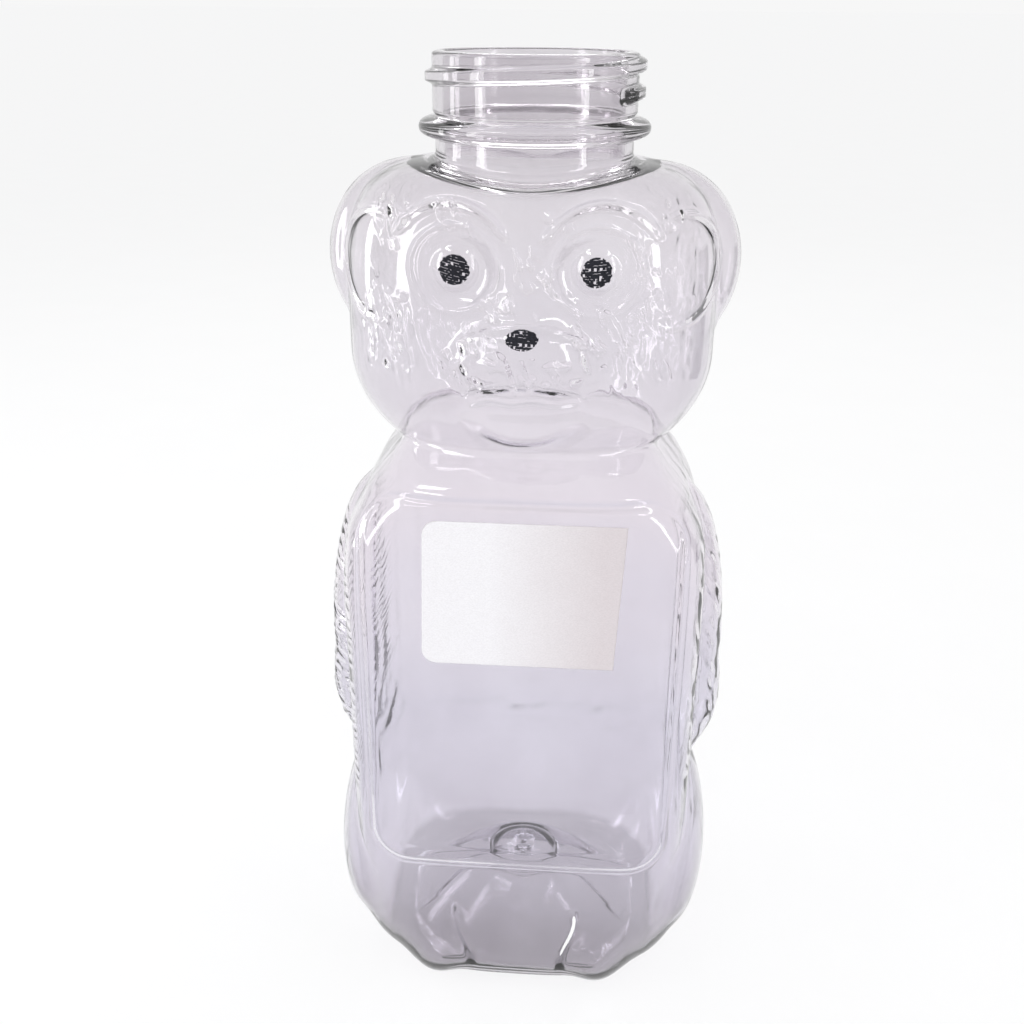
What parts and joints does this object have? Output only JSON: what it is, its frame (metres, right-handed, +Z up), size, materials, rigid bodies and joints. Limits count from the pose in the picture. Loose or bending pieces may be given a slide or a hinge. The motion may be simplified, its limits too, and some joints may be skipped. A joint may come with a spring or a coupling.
{
  "type": "honey bear bottle",
  "caption": "Clear plastic squeeze bottle in the shape of a sitting bear, with an open screw neck, printed eyes and nose, flat label panels and a blank paper sticker.",
  "frame": {"origin": "middle of the standing surface, on the axis of the neck", "axes": "+Z up along the neck axis, -Y the way the bear faces, +X across the body"},
  "size_m": [0.0792, 0.0592, 0.1818],
  "materials": {
    "clear_plastic": "clear, glossy, faint lavender-grey tint",
    "printed_ink": "black jetted ink, matt",
    "sticker_paper": "white uncoated sticker paper",
    "sticker_gum": "thin pale gum"
  },
  "bodies": {
    "root": {"bottle": "clear_plastic", "left_eye": "printed_ink", "right_eye": "printed_ink", "nose": "printed_ink", "label_paper": "sticker_paper", "label_adhesive": "sticker_gum"}
  },
  "joints": []
}
